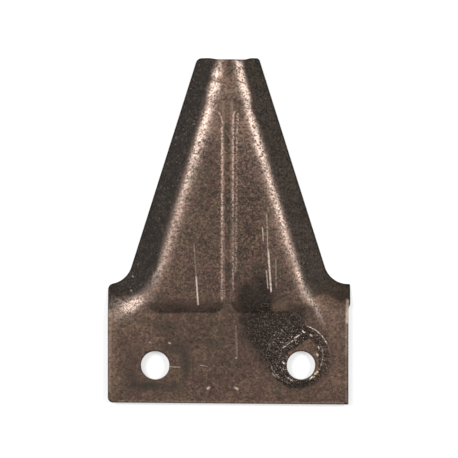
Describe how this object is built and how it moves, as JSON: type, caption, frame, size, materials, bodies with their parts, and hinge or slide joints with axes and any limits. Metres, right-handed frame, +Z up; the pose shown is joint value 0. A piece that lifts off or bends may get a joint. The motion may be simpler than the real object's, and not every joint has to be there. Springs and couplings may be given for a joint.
{
  "type": "sickle section",
  "caption": "Tapered knife section for a mower's cutter bar: a flat base with bolt holes and a long blunt-tipped blade with coined bevels and raised pads.",
  "frame": {"origin": "on the flat underside, midway between the two bolt holes", "axes": "+X across the section, +Y from the bolt holes towards the blunt tip, +Z up out of the top face"},
  "size_m": [0.0769, 0.1099, 0.0044],
  "materials": {
    "blade_steel": "dark brown heat-treated scale, rubbed bright along the bends, with dried film round one hole"
  },
  "bodies": {
    "root": {"sickle_section": "blade_steel"}
  },
  "joints": []
}
